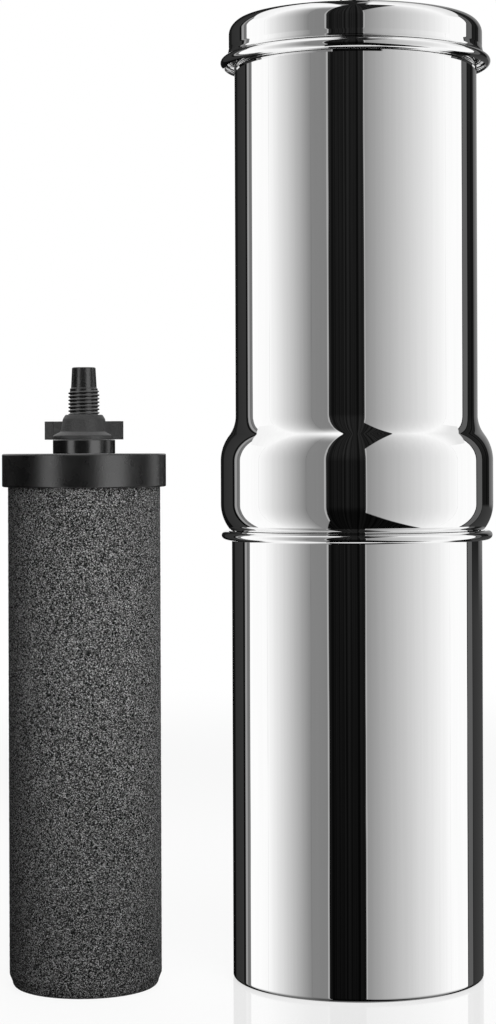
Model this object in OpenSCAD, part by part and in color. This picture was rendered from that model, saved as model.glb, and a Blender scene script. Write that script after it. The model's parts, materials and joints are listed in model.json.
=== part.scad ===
// Gravity water filter: two stainless vessels that stand on each other, a lid, a quarter-turn tap
// at the back, one carbon element fitted inside and a second one standing beside the body.
// Millimetres, +Z up. The origin is on the vessels' axis, in the plane that the foot stands on.

/* [Sheet steel] */
// Thickness of the stainless sheet of the vessels and the lid
sheet_t = 0.8; // [0.6:0.1:1]
// Height that keeps one rolled rim just clear of what stands on it
seat_gap = 0.2; // [0.1:0.05:0.3]

/* [Lower chamber] */
// Outside diameter of the lower vessel
lower_od = 100; // [90:1:130]
// Height of the lower vessel over its rolled rim
lower_h = 178.2; // [160:0.1:240]
// Radius inside the roll of its rim, sideways
lower_roll_r = 1.65; // [1.5:0.05:2]
// Height inside the roll, above its widest place
lower_roll_up = 1.15; // [1:0.05:1.6]
// Outside radius of the bend at its foot
lower_corner_r = 1.6; // [1.2:0.1:3]
// Width of the flat ring that it stands on
foot_w = 4.5; // [3:0.5:8]
// Rise of the base panel above that ring
base_rise = 2.5; // [1.5:0.1:4]

/* [Upper chamber] */
// How far the fitted element's far end stands up past the upper vessel's rim, under the lid
element_rise = 2.6; // [0:0.1:6]
// How far the foot stands out beyond the lower vessel's wall where it meets the rim
neck_over = 0.8; // [0.4:0.1:1.2]
// How far the bulge stands out beyond the lower vessel's wall
bulge_over = 4.4; // [4:0.1:7]
// Height of the bulge's straight side
bulge_h = 17; // [10:0.5:30]
// How far the shoulder draws in from the bulge to the straight tube
shoulder_in = 6.05; // [5:0.05:10]
// Radius of the bend from the foot out to the bulge
foot_bend_r = 16.8; // [10:0.1:20]
// Radius of the bend from the bulge into the shoulder
bulge_bend_r = 17.5; // [10:0.5:20]
// Radius of the bend from the shoulder into the straight tube
shoulder_r = 12.5; // [8:0.5:14]
// Radius inside the roll of the top rim, sideways
upper_roll_r = 2.375; // [1.8:0.025:2.6]
// Height inside the roll, above its widest place
upper_roll_up = 1.6; // [1.4:0.1:2]
// Depth of the part that plugs into the lower vessel
plug_h = 24; // [16:0.5:30]
// Gap all round that part
plug_gap = 0.4; // [0.3:0.05:0.8]
// Outside radius of the bend between the plug and its base
plug_corner_r = 4; // [2:0.5:8]

/* [Lid] */
// How far the lid's wall stands out beyond the tube
lid_over = 2.25; // [2:0.05:3]
// Height of the lid above the rim that it stands on
lid_h = 14.5; // [12:0.5:24]
// Outside radius of the lid's top edge
lid_corner_r = 6; // [3:0.5:8]
// How far the lid's foot flares out
lid_flare = 0.4; // [0.2:0.1:0.8]
// Height of the flare
lid_flare_h = 3; // [2:0.5:5]
// Outside radius of the small bends at the foot
lid_bend_r = 1; // [0.9:0.1:1.4]
// Depth of the ring that centres the lid in the tube
lid_plug_h = 10; // [6:0.5:16]
// Gap all round that ring
lid_plug_gap = 0.35; // [0.3:0.05:0.8]

/* [Lid knob] */
// Diameter of the knob's head
knob_od = 24; // [18:1:36]
// Height of the whole knob
knob_h = 24; // [20:1:34]
// Height of the knob's oval head
knob_head_h = 15; // [10:1:18]
// Diameter of its foot
knob_foot_od = 14; // [12:0.5:18]
// Diameter of its waist
knob_waist_od = 10; // [8:0.5:11]
// Diameter of the screw that holds it
knob_screw_d = 4; // [3:0.5:5]
// Length of the screw under its head
knob_screw_h = 12; // [9:0.5:15]
// Diameter of the washer under the screw's head
knob_washer_od = 10; // [9:0.5:14]
// Thickness of that washer
knob_washer_t = 0.8; // [0.5:0.1:1.5]
// How far the screw's head stands out beyond its shank
knob_screw_head_over = 1.8; // [1.5:0.1:2.5]
// Height of the screw's head
knob_screw_head_h = 2.2; // [1.5:0.1:3]
// Width of the hexagon socket in the screw's head
knob_screw_drive_w = 2.5; // [2:0.5:3]
// Height of the flat edge of the knob's foot
knob_foot_h = 1; // [0.5:0.1:2]

/* [Filter element] */
// Height of an element from its cap's face to its far end
element_h = 209; // [190:1:230]
// Diameter of the carbon block at the cap
carbon_od = 60; // [50:0.5:62]
// How far the carbon block draws in at its far end
carbon_end_in = 1.2; // [0:0.1:5]
// Rounding of the block's far end
carbon_end_r = 2; // [1:0.5:4]
// Diameter of the hollow core of the block
core_d = 20; // [12:1:30]
// Thickness of the block beyond the core
core_end_t = 18; // [12:1:30]
// How far the cap reaches out beyond the carbon block
cap_over = 2.25; // [1.5:0.05:5]
// Height of the cap
cap_h = 13; // [9:0.5:20]
// Thickness of the cap's face
cap_face_t = 3; // [2:0.5:5]
// Bevel along the cap's edges
cap_bevel = 0.6; // [0.3:0.1:1]
// Length of the hollow stem
stem_h = 34; // [30:0.5:44]
// Diameter over the stem's thread
stem_od = 12.3; // [10:0.1:14]
// Depth of the stem's thread
stem_thread_depth = 0.7; // [0.4:0.1:0.9]
// Pitch of the stem's thread
stem_pitch = 1.4; // [1:0.1:2]
// Length of the plain tapered nose
nose_h = 8.4; // [6:0.1:12]
// Diameter of the nose where the thread ends
nose_od = 10.1; // [9:0.1:10.4]
// Diameter of the nose's tip
nose_tip_od = 9.1; // [7:0.1:9.5]
// Diameter of the passage through the stem
stem_bore_d = 5; // [3:0.5:6]
// Gap between the stem and the hole in the vessel
stem_hole_gap = 0.3; // [0.2:0.05:0.6]
// Distance of the standing element to the left of the axis
spare_left = 108; // [100:1:180]
// Distance of the standing element in front of the axis
spare_front = 14; // [0:1:60]

/* [Washer and wing nut] */
// Outside diameter of the rubber washer
washer_od = 24.5; // [20:0.5:32]
// Thickness of the rubber washer
washer_t = 5.5; // [3:0.5:8]
// Diameter of the nut's flange
nut_flange_od = 24.5; // [19:0.5:30]
// Thickness of the nut's flange
nut_flange_t = 1.6; // [1:0.1:3]
// Height of the whole nut
nut_h = 9.8; // [8:0.1:13]
// Diameter of the nut's hub above its flange
nut_hub_od = 18.6; // [17:0.1:22]
// Diameter of the nut's hub at its top
nut_top_od = 14.6; // [14.4:0.1:16]
// Distance over the tips of the two wings
wing_span = 30.8; // [28:0.1:40]
// Height of a wing
wing_h = 7.2; // [5:0.1:8]
// Thickness of a wing
wing_t = 3; // [2:0.1:4]
// Width of the upright grip at a wing's tip
grip_w = 3.4; // [2.5:0.1:4]
// How far the grip stands out on both sides of the wing
grip_step = 1.2; // [0.6:0.1:2]
// Angle that the nuts are left at
nut_angle = 14; // [0:1:90]

/* [Tap housing] */
// Height of the tap's axis above the foot
tap_z = 46; // [42:1:70]
// Diameter over the shank's thread
shank_od = 16; // [14:0.5:20]
// Depth of the shank's thread
shank_thread_depth = 0.8; // [0.5:0.1:1]
// Pitch of the shank's thread
shank_pitch = 1.5; // [1:0.1:2]
// Gap between the shank and the hole in the wall
shank_hole_gap = 0.3; // [0.2:0.05:0.6]
// Length of the shank past the lock nut
shank_spare_h = 4.5; // [2:0.5:8]
// Diameter of the water way through the shank
shank_bore_d = 8; // [7:0.5:9]
// How far the flange and its washer stand out beyond the shank
tap_flange_over = 5; // [4:0.5:8]
// Thickness of the flange
tap_flange_t = 3; // [2:0.5:5]
// Length of solid barrel between the flange and the ball's inner seat
inlet_wall = 9.5; // [6:0.5:14]
// Thickness of the barrel's wall outside the spout's thread
barrel_wall = 2.5; // [2:0.5:4]
// Thickness of the rubber washer outside the wall, at its middle
tap_washer_t = 3; // [2:0.5:5]
// Thickness of the rubber washer inside the wall, at its edge
tap_inner_washer_t = 2.3; // [1.5:0.1:4]
// How far the lock nut's flats stand out beyond the shank
lock_nut_over = 3; // [2:0.5:5]
// Thickness of the lock nut
lock_nut_t = 5; // [3:0.5:8]

/* [Tap valve] */
// Diameter of the ball
ball_d = 14; // [13:0.5:18]
// Diameter of the hole through the ball
ball_bore_d = 6.4; // [6:0.1:7]
// Gap between the ball and the barrel's bore
ball_side_gap = 1.2; // [0.8:0.1:2]
// Depth of the slot in the ball
ball_slot_h = 2.2; // [1.5:0.1:2.5]
// Width of the slot in the ball
ball_slot_w = 3; // [2:0.1:4]
// Thickness of a seat ring behind the ball
seat_back = 1.5; // [1:0.1:3]
// How far a seat ring reaches forward round the ball
seat_front = 1.8; // [1.4:0.1:2.2]
// Diameter of the spindle
spindle_d = 6; // [5:0.5:7]
// Width of the square that drives the lever
spindle_square_w = 4; // [3:0.1:4.2]
// How far the spindle's collar stands out
spindle_collar_over = 2.3; // [1.8:0.1:3]
// Thickness of the spindle's collar
spindle_collar_t = 2; // [1.5:0.1:3]
// Thickness of the O-ring on the spindle
o_ring_t = 2; // [1.5:0.1:2.1]
// Thickness of metal between the ball's space and the collar
boss_web = 1.8; // [1.2:0.1:3]
// Thickness of the boss's wall round the gland nut
boss_wall = 2.4; // [1.6:0.1:4]
// Length of the gland nut's thread
gland_h = 5.8; // [4:0.1:9]
// How far the flats of the gland nut's head stand out beyond its thread
gland_head_over = 1.2; // [0.8:0.1:2]
// Height of that head
gland_head_h = 4; // [3:0.5:6]

/* [Tap lever] */
// Length of the lever from the spindle's axis to its end
lever_l = 42; // [30:1:60]
// Thickness of the lever's hub round the spindle
lever_hub_wall = 3.5; // [2.5:0.5:6]
// Height of the lever's hub
lever_hub_h = 5; // [4:0.5:8]
// Width of the lever at its end
lever_end_w = 10; // [6:0.5:14]
// Width of the lever at its neck
lever_neck_w = 7; // [5:0.5:9]
// Thickness of the lever
lever_t = 2.6; // [2:0.1:4]
// Diameter of the lever's screw
lever_screw_d = 2.5; // [2:0.5:2.5]
// Length of that screw under its head
lever_screw_h = 9; // [7:0.5:12]
// How far the screw's head stands out beyond its shank
lever_screw_over = 2.2; // [1.8:0.1:3]
// Height of the screw's head
lever_screw_head_h = 1.8; // [1.2:0.1:3]

/* [Tap spout] */
// Diameter of the water way in the spout
spout_bore_d = 8; // [6.5:0.5:9]
// Thickness of the spout's wall
spout_wall = 2; // [1.5:0.1:3]
// Radius of the spout's bend, at the middle of the tube
spout_bend_r = 12; // [9:0.5:16]
// Length of straight tube before the bend
spout_lead = 1; // [0.5:0.5:8]
// Length of the straight tube below the bend
spout_drop = 14; // [8:0.5:18]
// How far the spout's thread stands out beyond the bore that holds the ball
spout_thread_over = 1.3; // [1:0.1:2]
// Length of the spout's thread
spout_thread_h = 7; // [5:0.5:10]
// Thickness of the collar that stops against the barrel
spout_collar_t = 3; // [2:0.5:5]

/* [Hidden] */
$fn = 96;
// Segments of every bend in a sheet's outline
bend_steps = 8;
// Extra length of a cutting tool
overrun = 1;
// Gap all round between two pieces of one assembly
slip_gap = 0.05;
// Gap all round where one piece turns in another
turn_gap = 0.08;
// Where a thread's crest starts and ends and its next root starts, in one pitch
crest_start_share = 0.35;
crest_end_share = 0.6;
root_start_share = 0.95;

// Lower chamber
lower_r = lower_od / 2;
lower_inner_r = lower_r - sheet_t;
lower_roll_z = lower_h - sheet_t - lower_roll_up;
lower_roll_end = -110;
foot_inner_r = lower_r - lower_corner_r - foot_w;

// Upper chamber: the outline goes from the plug's base up to the rim
ledge_z = lower_h + seat_gap;
plug_r = lower_inner_r - plug_gap;
plug_base_z = ledge_z - plug_h;
plug_inner_z = plug_base_z + sheet_t;
fitted_face_z = plug_inner_z + washer_t;
upper_top_z = fitted_face_z + element_h - element_rise;
neck_r = lower_r + neck_over;
bulge_r = lower_r + bulge_over;
tube_r = bulge_r - shoulder_in;
tube_inner_r = tube_r - sheet_t;
ledge_bend_r = sheet_t;
foot_turn = acos(1 - (bulge_r - neck_r) / foot_bend_r);
bulge_z = ledge_z + foot_bend_r * sin(foot_turn);
bulge_top_z = bulge_z + bulge_h;
shoulder_turn = acos(1 - shoulder_in / (bulge_bend_r + shoulder_r));
tube_z = bulge_top_z + (bulge_bend_r + shoulder_r) * sin(shoulder_turn);
upper_roll_z = upper_top_z - sheet_t - upper_roll_up;
upper_roll_end = -60;

// Lid
lid_r = tube_r + lid_over;
lid_foot_r = lid_r + lid_flare;
lid_foot_z = upper_top_z + seat_gap;
lid_top_z = lid_foot_z + lid_h;
lid_plug_r = tube_inner_r - lid_plug_gap;

// Knob and its screw
knob_screw_hole_r = knob_screw_d / 2 + slip_gap;
knob_head_z = knob_h - knob_head_h / 2;
// Angle on the oval where the waist meets the head
knob_head_start = -58;

// Element, in its own frame: z is 0 on the cap's face and the stem points up
carbon_r = carbon_od / 2;
carbon_end_x = carbon_r - carbon_end_in - carbon_end_r;
cap_r = carbon_r + cap_over;
stem_r = stem_od / 2;
stem_root_r = stem_r - stem_thread_depth;
stem_bore_r = stem_bore_d / 2;
nose_r = nose_od / 2;
thread_h = stem_h - nose_h;
spare_nut_z = washer_t + slip_gap;
fitted_nut_z = washer_t + sheet_t + slip_gap;
// How far in the nut's flange and hub draw, as a share of the step between their radii
nut_slope_share = 0.5;

// Tap, whose horizontal pieces lie along +Y from the vessels' axis
shank_r = shank_od / 2;
shank_hole_r = shank_r + shank_hole_gap;
flange_r = shank_r + tap_flange_over;
flange_y = lower_r + tap_washer_t;
barrel_y = flange_y + tap_flange_t;
ball_r = ball_d / 2;
ball_bore_r = ball_bore_d / 2;
valve_bore_r = ball_r + ball_side_gap;
seat_reach = ball_r + seat_back;
seat_face = ball_r - seat_front;
valve_y = barrel_y + inlet_wall;
ball_y = valve_y + seat_reach;
thread_y = ball_y + seat_reach;
spout_thread_r = valve_bore_r + spout_thread_over;
barrel_end_y = thread_y + spout_thread_h;
barrel_r = spout_thread_r + slip_gap + barrel_wall;
inner_washer_r = lower_inner_r - slip_gap;
lock_nut_y = sqrt(inner_washer_r ^ 2 - flange_r ^ 2) - tap_inner_washer_t;
shank_end_y = lock_nut_y - lock_nut_t - shank_spare_h;
spindle_r = spindle_d / 2;
collar_r = spindle_r + spindle_collar_over;
boss_bore_r = collar_r + turn_gap;
boss_r = boss_bore_r + boss_wall;
collar_z = valve_bore_r + boss_web + slip_gap;
o_ring_z = collar_z + spindle_collar_t + slip_gap;
gland_z = o_ring_z + o_ring_t + slip_gap;
boss_h = gland_z + gland_h;
gland_r = boss_bore_r - slip_gap;
lever_z = boss_h + gland_head_h + seat_gap;
lever_top_z = lever_z + lever_hub_h;
spout_collar_y = barrel_end_y + spout_collar_t;
spout_bend_y = spout_collar_y + spout_lead;
spout_r = spout_bore_d / 2 + spout_wall;

// Points of an arc round a centre, from one angle to another, flattened by a share of its height
function arc(centre, r, from, to, flat_share = 1) = [
  for (i = [0:bend_steps])
    let (turn = from + (to - from) * i / bend_steps)
    centre + r * [cos(turn), flat_share * sin(turn)]
];
// The same points without the first, to follow on from an outline that ends there
function after_first(points) = [for (i = [1:len(points) - 1]) points[i]];
// Points of a thread's outline, upward from a height, as rings
function thread(r, depth, pitch, from, h) = [
  for (i = [0:floor(h / pitch) - 1]) each [
    [r - depth, from + i * pitch],
    [r, from + (i + crest_start_share) * pitch],
    [r, from + (i + crest_end_share) * pitch],
    [r - depth, from + (i + root_start_share) * pitch]
  ]
];
// Unit vector to the left of the way from one point to the next
function left_of(from, to) = [from[1] - to[1], to[0] - from[0]] / norm(to - from);
// Where a point of an outline goes when the outline moves a distance to its left
function shifted(points, i, distance) =
  let (before = left_of(points[max(i - 1, 0)], points[max(i, 1)]),
       after = left_of(points[min(i, len(points) - 2)], points[min(i + 1, len(points) - 1)]))
  points[i] + distance * (before + after) / (1 + before * after);
// The same outline moved a distance to its left, in reverse order
function other_face(points, distance) = [
  for (i = [len(points) - 1:-1:0]) shifted(points, i, distance)
];

// A vessel or lid of bent sheet, from the outline of one of its faces
module sheet_metal(points, thickness) {
  rotate_extrude() polygon(concat(points, other_face(points, thickness)));
}
module ring(outer_r, inner_r, h) {
  rotate_extrude() translate([inner_r, 0]) square([outer_r - inner_r, h]);
}
module hexagon_prism(across_flats, h) {
  cylinder(h = h, r = across_flats / (2 * cos(30)), $fn = 6);
}
// Frames of the two elements
module fitted() { translate([0, 0, fitted_face_z]) rotate([180, 0, 0]) children(); }
module standing() { translate([-spare_left, -spare_front, element_h]) children(); }
// Frames of the tap's pieces: along its water way, and round its spindle
module along_tap(y) { translate([0, y, tap_z]) rotate([-90, 0, 0]) children(); }
module over_ball(z) { translate([0, ball_y, tap_z + z]) children(); }

module lower_chamber() {
  outline = concat(
    [[0, base_rise], [foot_inner_r - base_rise, base_rise], [foot_inner_r, 0]],
    arc([lower_r - lower_corner_r, lower_corner_r], lower_corner_r, -90, 0),
    arc([lower_r + lower_roll_r, lower_roll_z], lower_roll_r, 180, lower_roll_end,
        lower_roll_up / lower_roll_r)
  );
  color("gainsboro") difference() {
    sheet_metal(outline, sheet_t);
    along_tap(lower_inner_r - overrun) cylinder(h = sheet_t + 2 * overrun, r = shank_hole_r);
  }
}

module upper_chamber() {
  outline = concat(
    [[stem_r + stem_hole_gap, plug_base_z]],
    arc([plug_r - plug_corner_r, plug_base_z + plug_corner_r], plug_corner_r, -90, 0),
    arc([plug_r + ledge_bend_r, ledge_z - ledge_bend_r], ledge_bend_r, 180, 90),
    arc([bulge_r - foot_bend_r, bulge_z], foot_bend_r, -foot_turn, 0),
    arc([bulge_r - bulge_bend_r, bulge_top_z], bulge_bend_r, 0, shoulder_turn),
    after_first(arc([tube_r + shoulder_r, tube_z], shoulder_r, 180 + shoulder_turn, 180)),
    arc([tube_r + upper_roll_r, upper_roll_z], upper_roll_r, 180, upper_roll_end,
        upper_roll_up / upper_roll_r)
  );
  color("gainsboro") sheet_metal(outline, sheet_t);
}

module lid() {
  outline = concat(
    [[knob_screw_hole_r, lid_top_z]],
    arc([lid_r - lid_corner_r, lid_top_z - lid_corner_r], lid_corner_r, 90, 0),
    [[lid_r, lid_foot_z + lid_flare_h]],
    arc([lid_foot_r - lid_bend_r, lid_foot_z + lid_bend_r], lid_bend_r, 0, -90),
    arc([lid_plug_r + lid_bend_r, lid_foot_z - lid_bend_r], lid_bend_r, 90, 180),
    [[lid_plug_r, lid_foot_z - lid_plug_h]]
  );
  color("gainsboro") sheet_metal(outline, -sheet_t);
}

module lid_knob() {
  outline = concat(
    [[0, 0], [knob_foot_od / 2, 0], [knob_foot_od / 2, knob_foot_h]],
    [[knob_waist_od / 2, knob_foot_h + (knob_foot_od - knob_waist_od) / 2]],
    [for (i = [0:2 * bend_steps])
      let (turn = knob_head_start + (90 - knob_head_start) * i / (2 * bend_steps))
      [knob_od / 2 * cos(turn), knob_head_z + knob_head_h / 2 * sin(turn)]]
  );
  color("silver") translate([0, 0, lid_top_z]) difference() {
    rotate_extrude() polygon(outline);
    translate([0, 0, -overrun])
      cylinder(h = knob_screw_h - sheet_t - knob_washer_t + 2 * overrun, r = knob_screw_hole_r);
  }
}

module lid_knob_washer() {
  color("silver") translate([0, 0, lid_top_z - sheet_t - knob_washer_t])
    ring(knob_washer_od / 2, knob_screw_hole_r, knob_washer_t);
}

module lid_knob_screw() {
  head_z = lid_top_z - sheet_t - knob_washer_t - knob_screw_head_h;
  color("silver") translate([0, 0, head_z]) difference() {
    union() {
      cylinder(h = knob_screw_head_h, r = knob_screw_d / 2 + knob_screw_head_over);
      cylinder(h = knob_screw_head_h + knob_screw_h, r = knob_screw_d / 2);
    }
    translate([0, 0, -overrun])
      hexagon_prism(knob_screw_drive_w, overrun + knob_screw_head_h / 2);
  }
}

module carbon_block() {
  outline = concat(
    [[0, core_end_t - element_h], [core_d / 2, core_end_t - element_h]],
    [[core_d / 2, -cap_face_t], [carbon_r, -cap_face_t]],
    arc([carbon_end_x, carbon_end_r - element_h], carbon_end_r, 0, -90),
    [[0, -element_h]]
  );
  color("dimgray") rotate_extrude() polygon(outline);
}

module end_cap() {
  outline = concat(
    [[stem_bore_r, -cap_face_t], [carbon_r + slip_gap, -cap_face_t]],
    [[carbon_r + slip_gap, -cap_h], [cap_r - cap_bevel, -cap_h], [cap_r, cap_bevel - cap_h]],
    [[cap_r, -cap_bevel], [cap_r - cap_bevel, 0]],
    thread(stem_r, stem_thread_depth, stem_pitch, 0, thread_h),
    [[stem_root_r, thread_h], [nose_r, thread_h + stem_root_r - nose_r]],
    [[nose_tip_od / 2, stem_h], [stem_bore_r, stem_h]]
  );
  color("black") rotate_extrude() polygon(outline);
}

module seal_washer() {
  color("black") ring(washer_od / 2, stem_r + slip_gap, washer_t);
}

module wing_nut() {
  flange_step = (nut_flange_od - nut_hub_od) / 2;
  hub_step = (nut_hub_od - nut_top_od) / 2;
  outline = [
    [stem_r + turn_gap, 0], [nut_flange_od / 2, 0], [nut_flange_od / 2, nut_flange_t],
    [nut_hub_od / 2, nut_flange_t + nut_slope_share * flange_step],
    [nut_hub_od / 2 - nut_slope_share * hub_step, nut_h - nut_flange_t],
    [nut_top_od / 2, nut_h], [stem_r + turn_gap, nut_h]
  ];
  wing_l = (wing_span - nut_hub_od) / 2 + wing_t;
  color("black") rotate([0, 0, -nut_angle]) {
    rotate_extrude() polygon(outline);
    for (side = [-1, 1]) scale([side, 1, 1]) {
      translate([wing_span / 2 - wing_l, -wing_t / 2, 0]) cube([wing_l, wing_t, wing_h]);
      translate([wing_span / 2 - grip_w, -wing_t / 2 - grip_step, 0])
        cube([grip_w, wing_t + 2 * grip_step, wing_h]);
    }
  }
}

module fitted_carbon_block() { fitted() carbon_block(); }
module fitted_end_cap() { fitted() end_cap(); }
module fitted_seal_washer() { fitted() seal_washer(); }
module fitted_wing_nut() { fitted() translate([0, 0, fitted_nut_z]) wing_nut(); }
module spare_carbon_block() { standing() carbon_block(); }
module spare_end_cap() { standing() end_cap(); }
module spare_seal_washer() { standing() seal_washer(); }
module spare_wing_nut() { standing() translate([0, 0, spare_nut_z]) wing_nut(); }

module tap_body() {
  shank_h = flange_y - shank_end_y;
  shank = concat(
    [[0, 0]],
    thread(shank_r, shank_thread_depth, shank_pitch, 0, shank_h),
    [[shank_r - shank_thread_depth, shank_h], [0, shank_h]]
  );
  color("lightgray") difference() {
    union() {
      along_tap(shank_end_y) rotate_extrude() polygon(shank);
      along_tap(flange_y) cylinder(h = tap_flange_t, r = flange_r);
      along_tap(flange_y) cylinder(h = barrel_end_y - flange_y, r = barrel_r);
      over_ball(0) cylinder(h = boss_h, r = boss_r);
    }
    along_tap(shank_end_y - overrun)
      cylinder(h = valve_y - shank_end_y + 2 * overrun, r = shank_bore_d / 2);
    along_tap(valve_y) cylinder(h = 2 * seat_reach + overrun, r = valve_bore_r);
    along_tap(thread_y) cylinder(h = spout_thread_h + overrun, r = spout_thread_r + slip_gap);
    over_ball(0) cylinder(h = collar_z, r = spindle_r + turn_gap);
    over_ball(collar_z - slip_gap) cylinder(h = boss_h, r = boss_bore_r);
  }
}

module tap_outer_washer() {
  color("black") difference() {
    along_tap(0) ring(flange_r, shank_hole_r, flange_y);
    cylinder(h = 2 * tap_z, r = lower_r + slip_gap);
  }
}

module tap_inner_washer() {
  color("black") intersection() {
    along_tap(lock_nut_y) ring(flange_r, shank_hole_r, lower_r);
    cylinder(h = 2 * tap_z, r = inner_washer_r);
  }
}

module tap_lock_nut() {
  color("lightgray") along_tap(lock_nut_y - lock_nut_t) difference() {
    hexagon_prism(shank_od + 2 * lock_nut_over, lock_nut_t);
    translate([0, 0, -overrun]) cylinder(h = lock_nut_t + 2 * overrun, r = shank_r + slip_gap);
  }
}

module tap_ball() {
  color("silver") over_ball(0) difference() {
    sphere(r = ball_r);
    translate([-ball_r - overrun, 0, 0]) rotate([0, 90, 0])
      cylinder(h = ball_d + 2 * overrun, r = ball_bore_r);
    translate([-ball_r, -ball_slot_w / 2, ball_r - ball_slot_h])
      cube([ball_d, ball_slot_w, ball_slot_h + overrun]);
  }
}

// A ring that the ball seals on; its back lies at z = 0 and the ball is above it
module ball_seat() {
  color("white") difference() {
    ring(valve_bore_r - slip_gap, ball_bore_r, seat_reach - seat_face);
    translate([0, 0, seat_reach]) sphere(r = ball_r + slip_gap);
  }
}
module tap_inner_seat() { along_tap(valve_y) ball_seat(); }
module tap_outer_seat() { along_tap(thread_y) rotate([180, 0, 0]) ball_seat(); }

module tap_spindle() {
  tongue_z = ball_r - ball_slot_h + slip_gap;
  color("silver") over_ball(0) difference() {
    union() {
      intersection() {
        translate([0, 0, tongue_z]) cylinder(h = collar_z - tongue_z, r = spindle_r);
        union() {
          translate([-spindle_r, slip_gap - ball_slot_w / 2, 0])
            cube([spindle_d, ball_slot_w - 2 * slip_gap, collar_z]);
          translate([0, 0, ball_r + slip_gap]) cylinder(h = collar_z, r = spindle_r);
        }
      }
      translate([0, 0, collar_z]) cylinder(h = spindle_collar_t, r = collar_r);
      translate([0, 0, collar_z]) cylinder(h = lever_z - collar_z, r = spindle_r);
      translate([-spindle_square_w / 2, -spindle_square_w / 2, collar_z])
        cube([spindle_square_w, spindle_square_w, lever_top_z - slip_gap - collar_z]);
    }
    translate([0, 0, lever_top_z - lever_screw_h])
      cylinder(h = lever_screw_h, r = lever_screw_d / 2 + slip_gap);
  }
}

module tap_o_ring() {
  color("black") over_ball(o_ring_z + o_ring_t / 2) rotate_extrude()
    translate([spindle_r + turn_gap + o_ring_t / 2, 0]) circle(r = o_ring_t / 2);
}

module tap_gland_nut() {
  color("lightgray") over_ball(gland_z) difference() {
    union() {
      cylinder(h = gland_h, r = gland_r);
      translate([0, 0, gland_h]) hexagon_prism(2 * (gland_r + gland_head_over), gland_head_h);
    }
    translate([0, 0, -overrun])
      cylinder(h = gland_h + gland_head_h + 2 * overrun, r = spindle_r + turn_gap);
  }
}

module tap_lever() {
  hub_r = spindle_r + lever_hub_wall;
  end_x = lever_l - lever_end_w / 2;
  square_w = spindle_square_w + 2 * slip_gap;
  color("silver") over_ball(lever_z) difference() {
    union() {
      cylinder(h = lever_hub_h, r = hub_r);
      translate([0, 0, lever_hub_h - lever_t]) linear_extrude(lever_t) {
        polygon([[0, -lever_neck_w / 2], [end_x, -lever_end_w / 2],
                 [end_x, lever_end_w / 2], [0, lever_neck_w / 2]]);
        translate([end_x, 0]) circle(d = lever_end_w);
      }
    }
    translate([-square_w / 2, -square_w / 2, -overrun])
      cube([square_w, square_w, lever_hub_h + 2 * overrun]);
  }
}

module tap_lever_screw() {
  color("silver") over_ball(lever_top_z) {
    cylinder(h = lever_screw_head_h, r = lever_screw_d / 2 + lever_screw_over);
    translate([0, 0, slip_gap - lever_screw_h])
      cylinder(h = lever_screw_h, r = lever_screw_d / 2);
  }
}

// The spout's way as a solid of one radius, from the thread's end to the outlet
module spout_way(r, extra) {
  along_tap(thread_y - extra) cylinder(h = spout_bend_y - thread_y + extra, r = r);
  translate([0, spout_bend_y, tap_z - spout_bend_r]) {
    rotate([90, 0, 90]) rotate_extrude(angle = 90) translate([spout_bend_r, 0]) circle(r = r);
    translate([0, spout_bend_r, -spout_drop - extra]) cylinder(h = spout_drop + extra, r = r);
  }
}

module tap_spout() {
  color("lightgray") difference() {
    union() {
      spout_way(spout_r, 0);
      along_tap(thread_y) cylinder(h = spout_thread_h, r = spout_thread_r);
      along_tap(barrel_end_y) cylinder(h = spout_collar_t, r = barrel_r);
    }
    spout_way(spout_bore_d / 2, overrun);
  }
}

lower_chamber();
upper_chamber();
lid();
lid_knob();
lid_knob_washer();
lid_knob_screw();
fitted_carbon_block();
fitted_end_cap();
fitted_seal_washer();
fitted_wing_nut();
spare_carbon_block();
spare_end_cap();
spare_seal_washer();
spare_wing_nut();
tap_body();
tap_outer_washer();
tap_inner_washer();
tap_lock_nut();
tap_ball();
tap_inner_seat();
tap_outer_seat();
tap_spindle();
tap_o_ring();
tap_gland_nut();
tap_lever();
tap_lever_screw();
tap_spout();
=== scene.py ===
# %% [markdown]
# # A gravity water filter, dressed for the camera
#
# The object is a slim stack of two polished steel vessels with a lid. Water runs from the upper
# vessel through a block of carbon into the lower one, and out of a tap at the back. A second
# filter element stands beside the stack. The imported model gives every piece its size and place,
# and this notebook builds finer surfaces over it and gives each one its finish.

# %% Load the frame
import json
import math

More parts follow.
